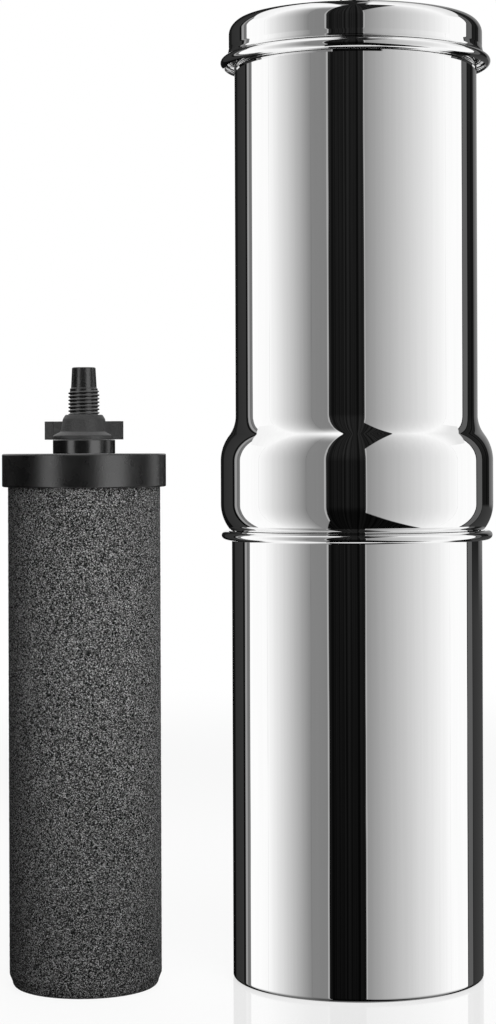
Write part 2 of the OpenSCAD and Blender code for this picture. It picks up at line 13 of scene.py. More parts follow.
import bmesh
import bpy
from mathutils import Matrix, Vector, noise

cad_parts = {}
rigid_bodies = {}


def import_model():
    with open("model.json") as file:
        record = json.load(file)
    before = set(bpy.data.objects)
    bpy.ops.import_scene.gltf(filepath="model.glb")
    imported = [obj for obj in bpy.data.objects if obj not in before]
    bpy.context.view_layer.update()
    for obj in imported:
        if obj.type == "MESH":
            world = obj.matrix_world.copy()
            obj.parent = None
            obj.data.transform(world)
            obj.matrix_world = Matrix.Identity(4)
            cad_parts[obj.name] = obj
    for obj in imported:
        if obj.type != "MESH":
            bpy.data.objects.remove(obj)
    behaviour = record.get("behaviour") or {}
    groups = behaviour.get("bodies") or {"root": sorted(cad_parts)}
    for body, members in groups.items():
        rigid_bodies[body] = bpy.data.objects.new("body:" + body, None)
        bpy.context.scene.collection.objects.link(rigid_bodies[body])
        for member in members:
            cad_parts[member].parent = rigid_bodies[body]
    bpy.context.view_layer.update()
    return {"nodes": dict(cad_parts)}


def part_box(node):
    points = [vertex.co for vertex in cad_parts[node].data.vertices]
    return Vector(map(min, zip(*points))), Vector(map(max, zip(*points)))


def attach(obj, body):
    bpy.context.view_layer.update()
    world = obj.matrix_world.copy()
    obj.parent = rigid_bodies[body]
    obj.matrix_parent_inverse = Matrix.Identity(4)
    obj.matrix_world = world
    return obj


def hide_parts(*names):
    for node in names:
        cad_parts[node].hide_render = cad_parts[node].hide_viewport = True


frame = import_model()
nodes = frame["nodes"]

# %% [markdown]
# ## The camera
#
# The picture was taken from the front with a long lens, which keeps the rims almost straight. A
# level camera keeps the tall walls upright, and its frame is slid down until the foot shows, as
# on a view camera. It leans by a fifth of a degree, as the photographer's did.

# %% Camera
MM = 0.001
PHOTO_W, PHOTO_H = 496, 1024
BODY_AXIS_PX = 356.4
PX_PER_MM = 2.5
CAMERA_BACK = 980 * MM
CAMERA_HEIGHT = 212 * MM
FRAME_DOWN_PX = 66.5
CAMERA_LEAN = 0.2
SENSOR_H = 36


def added(name, data):
    """A new object in the scene."""
    made = bpy.data.objects.new(name, data)
    bpy.context.scene.collection.objects.link(made)
    return made


camera = added("camera", bpy.data.cameras.new("camera"))
camera.data.sensor_fit = "VERTICAL"
camera.data.sensor_height = SENSOR_H
focal_px = PX_PER_MM * CAMERA_BACK / MM
camera.data.lens = SENSOR_H * focal_px / PHOTO_H
camera.data.shift_y = -FRAME_DOWN_PX / PHOTO_H
camera.location = ((PHOTO_W / 2 - BODY_AXIS_PX) / PX_PER_MM * MM, -CAMERA_BACK, CAMERA_HEIGHT)
camera.rotation_euler = (math.radians(90), math.radians(CAMERA_LEAN), 0)
bpy.context.scene.camera = camera
bpy.context.scene.view_settings.view_transform = "Standard"
print("lens", round(camera.data.lens, 1), "mm, at", [round(c, 4) for c in camera.location])

# %% [markdown]
# ## Shader sums in Python
#
# A finish is easier to read as a sum than as a web of nodes. This class wraps a socket, and the
# usual signs of Python add Math nodes to it. One method adds any other node.

# %% A socket with arithmetic
class Socket:
    """An output of a node tree, on which + - * / add Math nodes."""

    def __init__(self, tree, output):
        self.tree, self.output = tree, output

    def node(self, kind, settings=None, values=None, out=0):
        """Adds a node: its settings first, then the values or links of its sockets."""
        made = self.tree.nodes.new("ShaderNode" + kind)
        for name, value in (settings or {}).items():
            setattr(made, name, value)
        for name, value in (values or {}).items():
            if isinstance(value, Socket):
                self.tree.links.new(value.output, made.inputs[name])
            else:
                made.inputs[name].default_value = value
        return Socket(self.tree, made.outputs[out] if len(made.outputs) else None)

    def math(self, operation, *values):
        return self.node("Math", {"operation": operation}, dict(enumerate(values)))

    def __add__(self, other): return self.math("ADD", self, other)
    def __radd__(self, other): return self.math("ADD", other, self)
    def __sub__(self, other): return self.math("SUBTRACT", self, other)
    def __rsub__(self, other): return self.math("SUBTRACT", other, self)
    def __mul__(self, other): return self.math("MULTIPLY", self, other)
    def __rmul__(self, other): return self.math("MULTIPLY", other, self)
    def __truediv__(self, other): return self.math("DIVIDE", self, other)
    def __rtruediv__(self, other): return self.math("DIVIDE", other, self)

    def ramp(self, low, high, start=0.0, end=1.0, kind="SMOOTHSTEP"):
        """This value's way from low to high, as a way from start to end."""
        ends = {"From Min": low, "From Max": high, "To Min": start, "To Max": end}
        return self.node("MapRange", {"interpolation_type": kind}, {"Value": self, **ends})

    def parts(self):
        """The X, Y and Z of a vector."""
        split = self.tree.nodes.new("ShaderNodeSeparateXYZ")
        self.tree.links.new(self.output, split.inputs[0])
        return [Socket(self.tree, output) for output in split.outputs]

    def scaled(self, x, y, z):
        """A vector with its X, Y and Z multiplied."""
        return self.node("VectorMath", {"operation": "MULTIPLY"}, {0: self, 1: (x, y, z)})


def tree_of(owner):
    """A cleared node tree, as a first socket to build on."""
    owner.use_nodes = True
    owner.node_tree.nodes.clear()
    return Socket(owner.node_tree, None)


def new_finish(name):
    """A new material, and the place on its object as a first socket."""
    made = bpy.data.materials.new(name)
    return made, tree_of(made).node("TexCoord", out="Object")


def grey(level):
    """The light that a level from 0 to 255 in a picture stands for."""
    share = level / 255
    return share / 12.92 if share <= 0.04045 else ((share + 0.055) / 1.055) ** 2.4


print("mid grey 128 is a light of", round(grey(128), 3))

# %% [markdown]
# ## The studio
#
# Polished steel has no look of its own: it shows the room. The room here is a dark studio with
# tall flat cards round the object, and each vertical stripe on the steel is one card or the gap
# between two. Seen from the middle, the flat edge of a card rises and falls with the cosine of
# the angle, so a card is a stretch of azimuth with a top and a bottom. Azimuth is counted in
# degrees from the camera's side, to the right, and rise is the slope of a direction. The gaps
# between the cards are nearly black, with faint upright streaks from the clutter in the dark.

# %% The cards of the studio
STEEL_SHADE = 0.95
# How far the edges of cards are blurred: in degrees, in rise, and in shares of the height
EDGE, RISE_EDGE, CEILING_EDGE = 0.5, 0.03, 0.02
# The edges of a card: the way that its top edge faces and its height there, and the same for its
# bottom edge. The big cards have stripes of several greys
LEFT_EDGES, SIDE_EDGES = (-47, 9.0, -108, 4.4), (-110, 3.0, -110, 0.9)
RIGHT_EDGES = (81, 2.5, 80, 1.22)
# Each card or stripe: azimuth from and to, greys at both ends, and the edges
CARDS = {
    "backdrop left": (-181, -172, 240, 240, -180, 0.3, -180, 0.6),
    "dark wall left": (-154, -131, 46, 52, -180, 8.0, -180, 8.0),
    "side strip bright": (-127, -123, 150, 150, *SIDE_EDGES),
    "side strip": (-123, -118, 105, 120, *SIDE_EDGES),
    "left card white": (-118, -92, 254, 250, *LEFT_EDGES),
    "left card shade": (-92, -45, 250, 131, *LEFT_EDGES),
    "left card grey": (-45, -29.5, 130, 127, *LEFT_EDGES),
    "left card edge": (-29.5, -28, 175, 160, *LEFT_EDGES),
    "right card edge": (5.0, 6.2, 165, 175, *RIGHT_EDGES),
    "right card shade": (6.2, 91, 142, 250, *RIGHT_EDGES),
    "right card white": (91, 117, 251, 252, *RIGHT_EDGES),
    "right return": (118.5, 128, 92, 92, 110, 2.0, 110, 0.6),
    "wall right": (146, 172, 84, 150, 180, 8.0, 180, 0.6),
    "wall right, low": (129, 172, 50, 70, 150, -0.05, 150, 0.6),
    "backdrop right": (172, 181, 240, 240, 180, 0.3, 180, 0.6),
}
# Cards overhead: from left to right and from front to back, as shares of their height, the
# azimuth up to which each reaches in front, and the greys of its front and back
CEILING = {"over the left": (-2.0, -0.15, -2.0, 0.85, -28, 250, 244),
           "over the right": (0.10, 2.0, -0.1, 0.85, 181, 250, 228)}
# In front they fade in between two rises, but not behind, and their grey changes on the way back
CEILING_RISES, CEILING_BEHIND, CEILING_WAY = (1.0, 2.8), (-0.1, 0.1), (-0.1, 0.6)
# The table is seen below these rises, in front and behind
TABLE_RISE, TABLE_RISE_BEHIND = -4.2, -1.0
TABLE_GREY = 245
TABLE_EDGE, TABLE_SIDE = 0.1, 0.02
# The dark between the cards: greys below and above, the rise that parts them, and its streaks
DARK_LOW, DARK_HIGH, DARK_RISE = 10, 30, 0.35
STREAKS_PER_DEGREE, STREAK_FAINT, STREAK_STRONG = 0.35, 0.4, 1.6
STREAK_NOISE = (0.35, 0.65)
TINY = 0.0001


def card_mask(azimuth, rise, first, last, top_facing, top, bottom_facing, bottom):
    """1 in the directions where a card stands, and 0 elsewhere."""
    ends = []
    for facing, reach in ((top_facing, top), (bottom_facing, bottom)):
        turn = (azimuth - facing) * math.radians(1)
        ends.append(turn.math("COSINE", turn) * reach)
    under_top = (ends[0] - rise).ramp(-RISE_EDGE, RISE_EDGE)
    over_bottom = (rise + ends[1]).ramp(-RISE_EDGE, RISE_EDGE)
    return within(azimuth, first, last, EDGE / 2) * under_top * over_bottom


def within(value, low, high, soft):
    """1 between two limits, and 0 outside them, with soft ends."""
    return value.ramp(low - soft, low + soft) * value.ramp(high - soft, high + soft, 1.0, 0.0)


world = bpy.data.worlds.new("studio")
bpy.context.scene.world = world
start = tree_of(world)
x, y, z = start.node("TexCoord").parts()
azimuth = x.math("ARCTAN2", x, 0 - y) * math.degrees(1)
flat = x.math("SQRT", x * x + y * y)
rise = z / (flat + TINY)
along = {"W": azimuth * STREAKS_PER_DEGREE, "Scale": 1.0}
streaks = start.node("TexNoise", {"noise_dimensions": "1D"}, along)
dark = rise.ramp(-DARK_RISE, DARK_RISE, grey(DARK_LOW), grey(DARK_HIGH))
room = dark * streaks.ramp(*STREAK_NOISE, STREAK_FAINT, STREAK_STRONG) / STEEL_SHADE
for first, last, grey_first, grey_last, *edges in CARDS.values():
    mask = card_mask(azimuth, rise, first, last, *edges)
    light = azimuth.ramp(first, last, grey(grey_first), grey(grey_last), "LINEAR") / STEEL_SHADE
    room = room + mask * (light - room)
up = z.math("MAXIMUM", z, TINY)
aside, ahead = x / up, y / up
fade = rise.math("MAXIMUM", rise.ramp(*CEILING_RISES), ahead.ramp(*CEILING_BEHIND))
for left, right, front, back, limit, grey_front, grey_back in CEILING.values():
    mask = within(aside, left, right, CEILING_EDGE) * within(ahead, front, back, CEILING_EDGE)
    mask = mask * fade * azimuth.ramp(limit - EDGE, limit + EDGE, 1.0, 0.0)
    light = ahead.ramp(*CEILING_WAY, grey(grey_front), grey(grey_back)) / STEEL_SHADE
    room = room + mask * (light - room)
table_rise = y.ramp(-TABLE_SIDE, TABLE_SIDE, TABLE_RISE, TABLE_RISE_BEHIND)
mask = (rise - table_rise).ramp(-TABLE_EDGE, TABLE_EDGE, 1.0, 0.0)
room = room + mask * (grey(TABLE_GREY) / STEEL_SHADE - room)
print(len(CARDS), "standing cards and", len(CEILING), "overhead")

# %% [markdown]
# ## The room that plastic sees
#
# The element was lit on its own, by a broad light from the front right, and its black plastic
# shows two upright strips. So whatever isn't a perfect mirror sees a second room, dark below,
# with two strips in it. Above the strips the white sweep of the studio goes all round, which is
# what a glossy floor mirrors.

# %% The second room
# Each strip: azimuth from and to, and its light
STRIPS = {"left strip": (-58, -34, 1.7), "right strip": (25, 66, 1.8)}
STRIP_EDGE = 3
ROOM_DARK = 0.02
ROOF_LIGHT, ROOF_RISES = 0.8, (0.45, 0.9)
# The white sweep's light and how low it comes down, in front and behind, and where that changes
SWEEP_LIGHT, SWEEP_LIGHT_SIDE = (0.75, 1.0), (162, 168)
SWEEP_LOW, SWEEP_LOW_SIDE = (0.3, 0.12), (90, 110)
SWEEP_EDGE = 0.05

soft_room = ROOM_DARK + azimuth * 0
for first, last, light in STRIPS.values():
    soft_room = soft_room + within(azimuth, first, last, STRIP_EDGE) * light
side = azimuth.math("ABSOLUTE", azimuth)
above = (rise - side.ramp(*SWEEP_LOW_SIDE, *SWEEP_LOW)).ramp(-SWEEP_EDGE, SWEEP_EDGE)
soft_room = soft_room + above * (side.ramp(*SWEEP_LIGHT_SIDE, *SWEEP_LIGHT) - soft_room)
soft_room = soft_room + rise.ramp(*ROOF_RISES) * (ROOF_LIGHT - soft_room)
print(len(STRIPS), "strips in the second room")

# %% [markdown]
# ## The sky, and who sees what
#
# Matt surfaces such as the carbon gather light from everywhere, so a room's cards would only
# blur together on them. They are lit by a plain sky: a lobe of light from the front right and a
# weaker one from behind, some light from above, and less from below. The kind of ray decides
# which of the three a surface sees, and the camera itself sees plain white.

# %% The sky
# Each lobe of light: the azimuth of its middle, and its light
SKY_LOBES = {"front": (20, 2.75), "back": (180, 1.2)}
LOBE_POWER = 8
SKY_LOW, SKY_BELOW, SKY_TOP = 0.03, 0.2, 1.0
SKY_BELOW_RISES, SKY_TOP_RISES = (-0.5, 0.1), (1.5, 3.0)

sky_light = SKY_LOW
for middle, light in SKY_LOBES.values():
    turn = (azimuth - middle) * math.radians(1)
    lobe = turn.math("POWER", turn.math("MAXIMUM", turn.math("COSINE", turn), 0), LOBE_POWER)
    sky_light = sky_light + lobe * light
sky_light = sky_light * rise.ramp(*SKY_BELOW_RISES, SKY_BELOW, 1.0)
sky_light = sky_light + rise.ramp(*SKY_TOP_RISES) * SKY_TOP

camera_ray, glossy_ray, mirror_ray = (start.node("LightPath", out="Is " + kind + " Ray")
                                      for kind in ("Camera", "Glossy", "Singular"))
seen = sky_light + glossy_ray * (soft_room - sky_light)
seen = seen + glossy_ray * mirror_ray * (room - seen)
seen = seen + camera_ray * (1 - seen)
sky = start.node("Background", values={"Color": seen, "Strength": 1.0})
start.node("OutputWorld", values={"Surface": sky})
print(len(world.node_tree.nodes), "nodes in the world")

# %% [markdown]
# ## The floor
#
# The stack stands on glossy white card that melts into the background. Close to the object the
# card is a mix of white paper, which takes the soft shadow, and a weak mirror. Further off it
# becomes plain white. The steel is lit by the tall cards alone, so the floor isn't seen in it.

# %% Floor
FLOOR_SIZE = 1.6
FLOOR_BELOW = 0.05 * MM
# The share of the mirror and of the paper close by, and between which distances they fade
FLOOR_GLOSS, FLOOR_PAPER = 0.16, 0.12
FLOOR_ROUGHNESS = 0.05
FLOOR_NEAR, FLOOR_FAR = 0.35, 1.2

floor_mesh = bpy.data.meshes.new("floor")
corners = [(x * FLOOR_SIZE, y * FLOOR_SIZE, 0) for x, y in ((-1, -1), (1, -1), (1, 1), (-1, 1))]
floor_mesh.from_pydata(corners, [], [(0, 1, 2, 3)])
floor = added("floor", floor_mesh)
floor.location.z = -FLOOR_BELOW
floor.visible_glossy = False
floor.visible_diffuse = False

card, place = new_finish("white_card")
distance = place.node("VectorMath", {"operation": "LENGTH"}, {0: place}, out="Value")
near = distance.ramp(FLOOR_NEAR, FLOOR_FAR, 1.0, 0.0)
paper = place.node("BsdfDiffuse", values={"Color": (1, 1, 1, 1)})
white = place.node("Emission", values={"Color": (1, 1, 1, 1), "Strength": 1.0})
mirror = place.node("BsdfGlossy", values={"Color": (1, 1, 1, 1), "Roughness": FLOOR_ROUGHNESS})
camera_ray = place.node("LightPath", out="Is Camera Ray")
plain = camera_ray * (1 - near * FLOOR_PAPER)
lit = place.node("MixShader", values={0: plain, 1: paper, 2: white})
glossy = place.node("MixShader", values={0: near * FLOOR_GLOSS, 1: lit, 2: mirror})
place.node("OutputMaterial", values={"Surface": glossy})
floor_mesh.materials.append(card)
print("floor of", 2 * FLOOR_SIZE, "m")

# %% [markdown]
# ## Turned shapes
#
# Drawn and spun sheet is round everywhere, so one function turns an outline into a mesh, as a
# lathe would. The mirror finish shows the smallest fault in the shading, and a long wall next
# to a tight bend would take its tilt from the bend. Extra rings right beside each bend stop that.

# %% Outlines
GUARD = 0.25 * MM


def arc(centre, radius, first, last, steps=16, height=None):
    """Points of an arc in an outline, by angles in degrees; a height of its own flattens it."""
    angles = [math.radians(first + (last - first) * i / steps) for i in range(steps + 1)]
    height = height or radius
    return [(centre[0] + radius * math.cos(a), centre[1] + height * math.sin(a)) for a in angles]


def guarded(outline):
    """The outline with extra points beside the ends of each long stretch."""
    points = []
    for (r0, z0), (r1, z1) in zip(outline, outline[1:] + outline[:1]):
        length = math.hypot(r1 - r0, z1 - z0)
        points.append((r0, z0))
        if length > 4 * GUARD:
            for share in (GUARD / length, 1 - GUARD / length):
                points.append((r0 + (r1 - r0) * share, z0 + (z1 - z0) * share))
    return points


def offset(outline, distance):
    """The outline moved to its left by a distance, in reverse order."""
    moved = []
    last = len(outline) - 1
    for i, (r, z) in enumerate(outline):
        ways = []
        for a, b in ((max(i - 1, 0), max(i, 1)), (min(i, last - 1), min(i + 1, last))):
            dr, dz = outline[b][0] - outline[a][0], outline[b][1] - outline[a][1]
            ways.append((-dz / math.hypot(dr, dz), dr / math.hypot(dr, dz)))
        (ar, az), (br, bz) = ways
        share = distance / (1 + ar * br + az * bz)
        moved.append((r + share * (ar + br), z + share * (az + bz)))
    return moved[::-1]


def sheet_outline(outline, thickness):
    """Both faces of bent sheet, from the outline of one of them."""
    return outline + offset(outline, thickness)


print("a quarter turn has", len(arc((0, 0), MM, 0, 90)), "points")

# %% Lathe
TURN_STEPS, PART_STEPS, SMALL_STEPS = 240, 144, 96
ON_AXIS = 1e-6
SHARP_EDGE = 32


def spin(work, points, steps=TURN_STEPS):
    """Adds a closed outline of (radius, height) points to a mesh, turned round the Z axis.
    A third number is half the width across the flats of a hexagon that cuts the ring."""
    rings = []
    for radius, height, *flats in points:
        if radius < ON_AXIS:
            rings.append([work.verts.new((0, 0, height))] * steps)
            continue
        ring = []
        for i in range(steps):
            angle = 2 * math.pi * i / steps
            cut = flats[0] / math.cos(angle % (math.pi / 3) - math.pi / 6) if flats else radius
            reach = min(radius, cut)
            ring.append(work.verts.new((reach * math.cos(angle), reach * math.sin(angle), height)))
        rings.append(ring)
    for low, high in zip(rings, rings[1:] + rings[:1]):
        for i in range(steps):
            j = (i + 1) % steps
            corners = list(dict.fromkeys([low[i], low[j], high[j], high[i]]))
            if len(corners) > 2:
                work.faces.new(corners)


def turned(name, outline, steps=TURN_STEPS):
    """A piece of its own from a closed outline."""
    work = bmesh.new()
    spin(work, guarded(outline), steps)
    return finished(name, work)


def finished(name, work, sharp=SHARP_EDGE):
    """The bmesh as an object, smooth but for edges that turn more than so many degrees."""
    bmesh.ops.recalc_face_normals(work, faces=work.faces)
    mesh = bpy.data.meshes.new(name)
    work.to_mesh(mesh)
    work.free()
    mesh.shade_smooth()
    mesh.set_sharp_from_angle(angle=math.radians(sharp))
    return added(name, mesh)


print("turned pieces have", TURN_STEPS, "steps")

# %% Dressing
def dress(piece, material, body, slot, *replaced):
    """Gives a piece its finish, the body that it moves with and the nodes that it stands for."""
    piece.data.materials.clear()
    piece.data.materials.append(material)
    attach(piece, body)
    if replaced:
        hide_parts(*replaced)
    print(piece.name, len(piece.data.vertices), "points")
    return piece


def placed(piece, where):
    """Moves the points of a piece from a frame of its own to where it belongs."""
    piece.data.transform(where)
    return piece



# %% [markdown]
# ## Polished steel
#
# The vessels are drawn from thin stainless sheet and polished upright on a wheel. That leaves a
# sharp mirror with very faint upright lines, so straight edges come back slightly restless. The
# lines are a bump from noise that is stretched along the height. They fade on the rolled edges,
# which a tool burnishes smooth, and a thin haze varies the brightness a little. The corner that
# the stack stands on is painted darker: painted shade where the steel meets the floor.

# %% Polished steel
LINES_PER_M, RIPPLES_PER_M = (900, 900, 9), (70, 70, 6)
HAZE = 0.015
# How much a face may lean before its lines fade, and how dark and high the painted foot shade is
LEAN_FROM, LEAN_TO = 0.15, 0.6
FOOT_SHADE_SHARE, FOOT_SHADE_FROM, FOOT_SHADE_TO = 0.12, 0.8 * MM, 1.8 * MM
# A noise seldom goes beyond these
NOISE_LOW, NOISE_HIGH = 0.3, 0.7


def textured(place, look, height, depth, strength=1.0):
    """Ends a material with its look and a texture in relief."""
    relief = {"Height": height, "Distance": depth, "Strength": strength}
    look = {**look, "Normal": place.node("Bump", values=relief)}
    surface = place.node("BsdfPrincipled", values=look)
    place.node("OutputMaterial", values={"Surface": surface})


def steel_finish(name, shade, roughness, lines, ripple):
    """Polished metal with upright polishing lines and a slow ripple of the sheet."""
    metal, place = new_finish(name)
    fine, slow = (place.node("TexNoise", values={
        "Vector": place.scaled(*per_m), "Scale": 1.0, "Detail": detail})
        for per_m, detail in ((LINES_PER_M, 3.0), (RIPPLES_PER_M, 1.0)))
    tilt = place.node("NewGeometry", out="Normal").parts()[2]
    upright = tilt.math("ABSOLUTE", tilt).ramp(LEAN_FROM, LEAN_TO, 1.0, 0.0)
    # Painted shade: the steel's colour is darkened close to the floor, at the corner it stands on
    painted_foot_shade = place.parts()[2].ramp(FOOT_SHADE_FROM, FOOT_SHADE_TO, FOOT_SHADE_SHARE, 1.0)
    hazy = fine.ramp(NOISE_LOW, NOISE_HIGH, shade - HAZE, shade + HAZE, "LINEAR")
    look = {"Base Color": painted_foot_shade * hazy, "Metallic": 1.0, "Roughness": roughness}
    textured(place, look, (fine * lines + slow * ripple) * upright, MM)
    return metal


polished_steel = steel_finish("polished_steel", STEEL_SHADE,
                              roughness=0.0, lines=0.0025, ripple=0.06)
print("polished steel has", len(polished_steel.node_tree.nodes), "nodes")

# %% [markdown]
# ## The lower vessel
#
# A straight cup. Its floor is pressed up a little, so that it stands on a ring, and its edge is
# rolled outward into a tube-like bead that stiffens the mouth.

# %% Lower vessel
SHEET = 0.8 * MM
LOWER_R = 50 * MM
LOWER_H = 178.2 * MM
LOWER_ROLL, LOWER_ROLL_UP = 1.65 * MM, 1.15 * MM
LOWER_CORNER = 1.6 * MM
FOOT_W = 4.5 * MM
BASE_RISE = 2.5 * MM
ROLL_END = -110

foot_in = LOWER_R - LOWER_CORNER - FOOT_W
lower_roll_z = LOWER_H - SHEET - LOWER_ROLL_UP
lower_outline = [(0, BASE_RISE), (foot_in - BASE_RISE, BASE_RISE), (foot_in, 0)]
lower_outline += arc((LOWER_R - LOWER_CORNER, LOWER_CORNER), LOWER_CORNER, -90, 0)
lower_outline += arc((LOWER_R + LOWER_ROLL, lower_roll_z), LOWER_ROLL, 180, ROLL_END, 32,
                     LOWER_ROLL_UP)
lower = turned("lower_vessel_steel", sheet_outline(lower_outline, SHEET))
dress(lower, polished_steel, "lower_vessel", "polished_steel", "lower_chamber")

# %% [markdown]
# ## The upper vessel
#
# Its base is a plug that drops into the lower vessel, and a flat ledge rests on the rolled edge
# there. Above the ledge the wall swells into a bulge and draws in again, in a long bend each
# way, to the straight wall. The mouth is rolled outward like the other one.

# %% Upper vessel
SEAT_GAP = 0.2 * MM
UPPER_H = 188.7 * MM
PLUG_H = 24 * MM
PLUG_GAP = 0.4 * MM
PLUG_CORNER = 4 * MM
NECK_OVER = 0.8 * MM
BULGE_OVER = 4.4 * MM
BULGE_H = 17 * MM
SHOULDER_IN = 6.05 * MM
FOOT_BEND = 16.8 * MM
BULGE_BEND = 17.5 * MM
SHOULDER_BEND = 12.5 * MM
UPPER_ROLL, UPPER_ROLL_UP = 2.375 * MM, 1.6 * MM
UPPER_ROLL_END = -60
STEM_HOLE_R = 6.45 * MM

ledge_z = LOWER_H + SEAT_GAP
upper_top = ledge_z + UPPER_H
plug_r = LOWER_R - SHEET - PLUG_GAP
plug_z = ledge_z - PLUG_H
bulge_r = LOWER_R + BULGE_OVER
wall_r = bulge_r - SHOULDER_IN
foot_turn = math.acos(1 - (BULGE_OVER - NECK_OVER) / FOOT_BEND)
bulge_z = ledge_z + FOOT_BEND * math.sin(foot_turn)
bulge_top = bulge_z + BULGE_H
bends = BULGE_BEND + SHOULDER_BEND
turn = math.acos(1 - SHOULDER_IN / bends)
wall_z = bulge_top + bends * math.sin(turn)
roll_z = upper_top - SHEET - UPPER_ROLL_UP
foot_turn, turn = math.degrees(foot_turn), math.degrees(turn)
# From the hole in the base up to the rolled edge, along the lower and outer face of the sheet
outline = [(STEM_HOLE_R, plug_z)]
outline += arc((plug_r - PLUG_CORNER, plug_z + PLUG_CORNER), PLUG_CORNER, -90, 0)
outline += arc((plug_r + SHEET, ledge_z - SHEET), SHEET, 180, 90, 8)
outline += arc((bulge_r - FOOT_BEND, bulge_z), FOOT_BEND, -foot_turn, 0, 32)
outline += arc((bulge_r - BULGE_BEND, bulge_top), BULGE_BEND, 0, turn, 32)
outline += arc((wall_r + SHOULDER_BEND, wall_z), SHOULDER_BEND, 180 + turn, 180, 32)[1:]
outline += arc((wall_r + UPPER_ROLL, roll_z), UPPER_ROLL, 180, UPPER_ROLL_END, 40, UPPER_ROLL_UP)
upper = turned("upper_vessel_steel", sheet_outline(outline, SHEET))
dress(upper, polished_steel, "upper_vessel", "polished_steel", "upper_chamber")

# %% [markdown]
# ## The lid
#
# A shallow cap with a rounded shoulder. Its foot flares over the vessel's rolled edge, turns
# under, and goes down inside the mouth as a collar that centres it.

# %% Lid
LID_OVER = 2.25 * MM
LID_H = 14.5 * MM
LID_CORNER = 6 * MM
LID_FLARE, LID_FLARE_H = 0.4 * MM, 3 * MM
LID_BEND = 1 * MM
LID_PLUG_H, LID_PLUG_GAP = 10 * MM, 0.35 * MM
KNOB_HOLE_R = 2.05 * MM

lid_r = wall_r + LID_OVER
lid_foot_z = upper_top + SEAT_GAP
lid_top = lid_foot_z + LID_H
plug_r = wall_r - SHEET - LID_PLUG_GAP
lid_points = [(KNOB_HOLE_R, lid_top)]
lid_points += arc((lid_r - LID_CORNER, lid_top - LID_CORNER), LID_CORNER, 90, 0, 32)
lid_points += [(lid_r, lid_foot_z + LID_FLARE_H)]
lid_points += arc((lid_r + LID_FLARE - LID_BEND, lid_foot_z + LID_BEND), LID_BEND, 0, -90, 10)
lid_points += arc((plug_r + LID_BEND, lid_foot_z - LID_BEND), LID_BEND, 90, 180, 10)
lid_points += [(plug_r, lid_foot_z - LID_PLUG_H)]
lid = turned("lid_steel", sheet_outline(lid_points, -SHEET))
dress(lid, polished_steel, "lid_assembly", "polished_steel", "lid")
print("lid top at", round(lid_top / MM, 2), "mm, CAD", round(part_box("lid")[1].z / MM, 2))

# %% [markdown]
# ## Rounded corners and loose shapes
#
# No moulded or machined edge is perfectly sharp, and the thin light that runs along a rounded
# edge is what makes it look real. For turned pieces the outline's corners are rounded before
# turning. Flat pieces such as wings are cut from a plan, raised, and their edges bevelled.

# %% Corners and plans
# The largest share of an edge that a corner may take, and the turn that counts as an edge
CORNER_SHARE = 0.45
EDGE_TURN = 25
CORNER_STEPS = 4


def eased(outline, radius):
    """The closed outline with its corners rounded, apart from those on the axis."""
    points = []
    for i, corner in enumerate(outline):
        if corner[0] < ON_AXIS:
            points.append(corner)
            continue
        ends = []
        for other in (outline[i - 1], outline[(i + 1) % len(outline)]):
            share = min(radius / math.dist(other, corner), CORNER_SHARE)
            ends.append([c + (o - c) * share for c, o in zip(corner, other)])
        for k in range(CORNER_STEPS + 1):
            t = k / CORNER_STEPS
            points.append(tuple((1 - t) ** 2 * a + 2 * t * (1 - t) * c + t * t * b
                                for a, c, b in zip(ends[0], corner, ends[1])))
    return points


def prism(work, plan, low, high, bevel):
    """Adds a plan of (x, y) points, raised from one height to another, with bevelled edges."""
    floor_ring = [work.verts.new((x, y, low)) for x, y in plan]
    roof_ring = [work.verts.new((x, y, high)) for x, y in plan]
    faces = [work.faces.new(floor_ring[::-1]), work.faces.new(roof_ring)]
    for i in range(len(plan)):
        j = (i + 1) % len(plan)
        faces.append(work.faces.new([floor_ring[i], floor_ring[j], roof_ring[j], roof_ring[i]]))
    edges = list({edge for face in faces for edge in face.edges
                  if edge.calc_face_angle(0) > math.radians(EDGE_TURN)})
    bmesh.ops.bevel(work, geom=edges, offset=bevel, segments=3, profile=0.5, affect="EDGES")


def crisp(piece):
    """Keeps the flat faces of a bevelled piece flat to the eye."""
    piece.modifiers.new("flat faces", "WEIGHTED_NORMAL").keep_sharp = True
    return piece


print("a rounded corner has", CORNER_STEPS + 1, "points")

# %% [markdown]
# ## Screw threads
#
# A thread is a ridge of a few rounded flanks that winds round a core. The CAD model has plain
# rings in its place, as they are quick to check. Here the section of the ridge is carried round
# the axis a step at a time while it climbs, and it sinks into the core at both ends, where a
# real one runs out.

# %% Thread
# The ridge in shares: of the pitch along the axis, and of the full depth outward
RIDGE_SHARES = [(-0.42, -0.2), (-0.16, 0.85), (-0.08, 1.0),
                (0.08, 1.0), (0.16, 0.85), (0.42, -0.2)]
RUN_OUT_TURNS = 0.4
THREAD_STEPS = 64


def thread_ridge(work, root, depth, pitch, low, high):
    """Adds the ridge of a screw thread, which winds up round the Z axis and fades at both ends."""
    count = int(((high - low) / pitch - 1) * THREAD_STEPS)
    run_out = THREAD_STEPS * RUN_OUT_TURNS
    before = None
    for i in range(count + 1):
        angle = 2 * math.pi * i / THREAD_STEPS
        fade = min(1.0, i / run_out, (count - i) / run_out)
        middle = low + pitch * (0.5 + i / THREAD_STEPS)
        ring = []
        for up, out in RIDGE_SHARES:
            reach = root + depth * (out * fade if out > 0 else out)
            ring.append(work.verts.new((reach * math.cos(angle), reach * math.sin(angle),
                                        middle + up * pitch)))
        if before:
            for k in range(len(ring)):
                j = (k + 1) % len(ring)
                work.faces.new([before[k], before[j], ring[j], ring[k]])
        else:
            work.faces.new(ring)
        before = ring
    work.faces.new(before[::-1])


print("a turn of thread has", THREAD_STEPS, "steps")
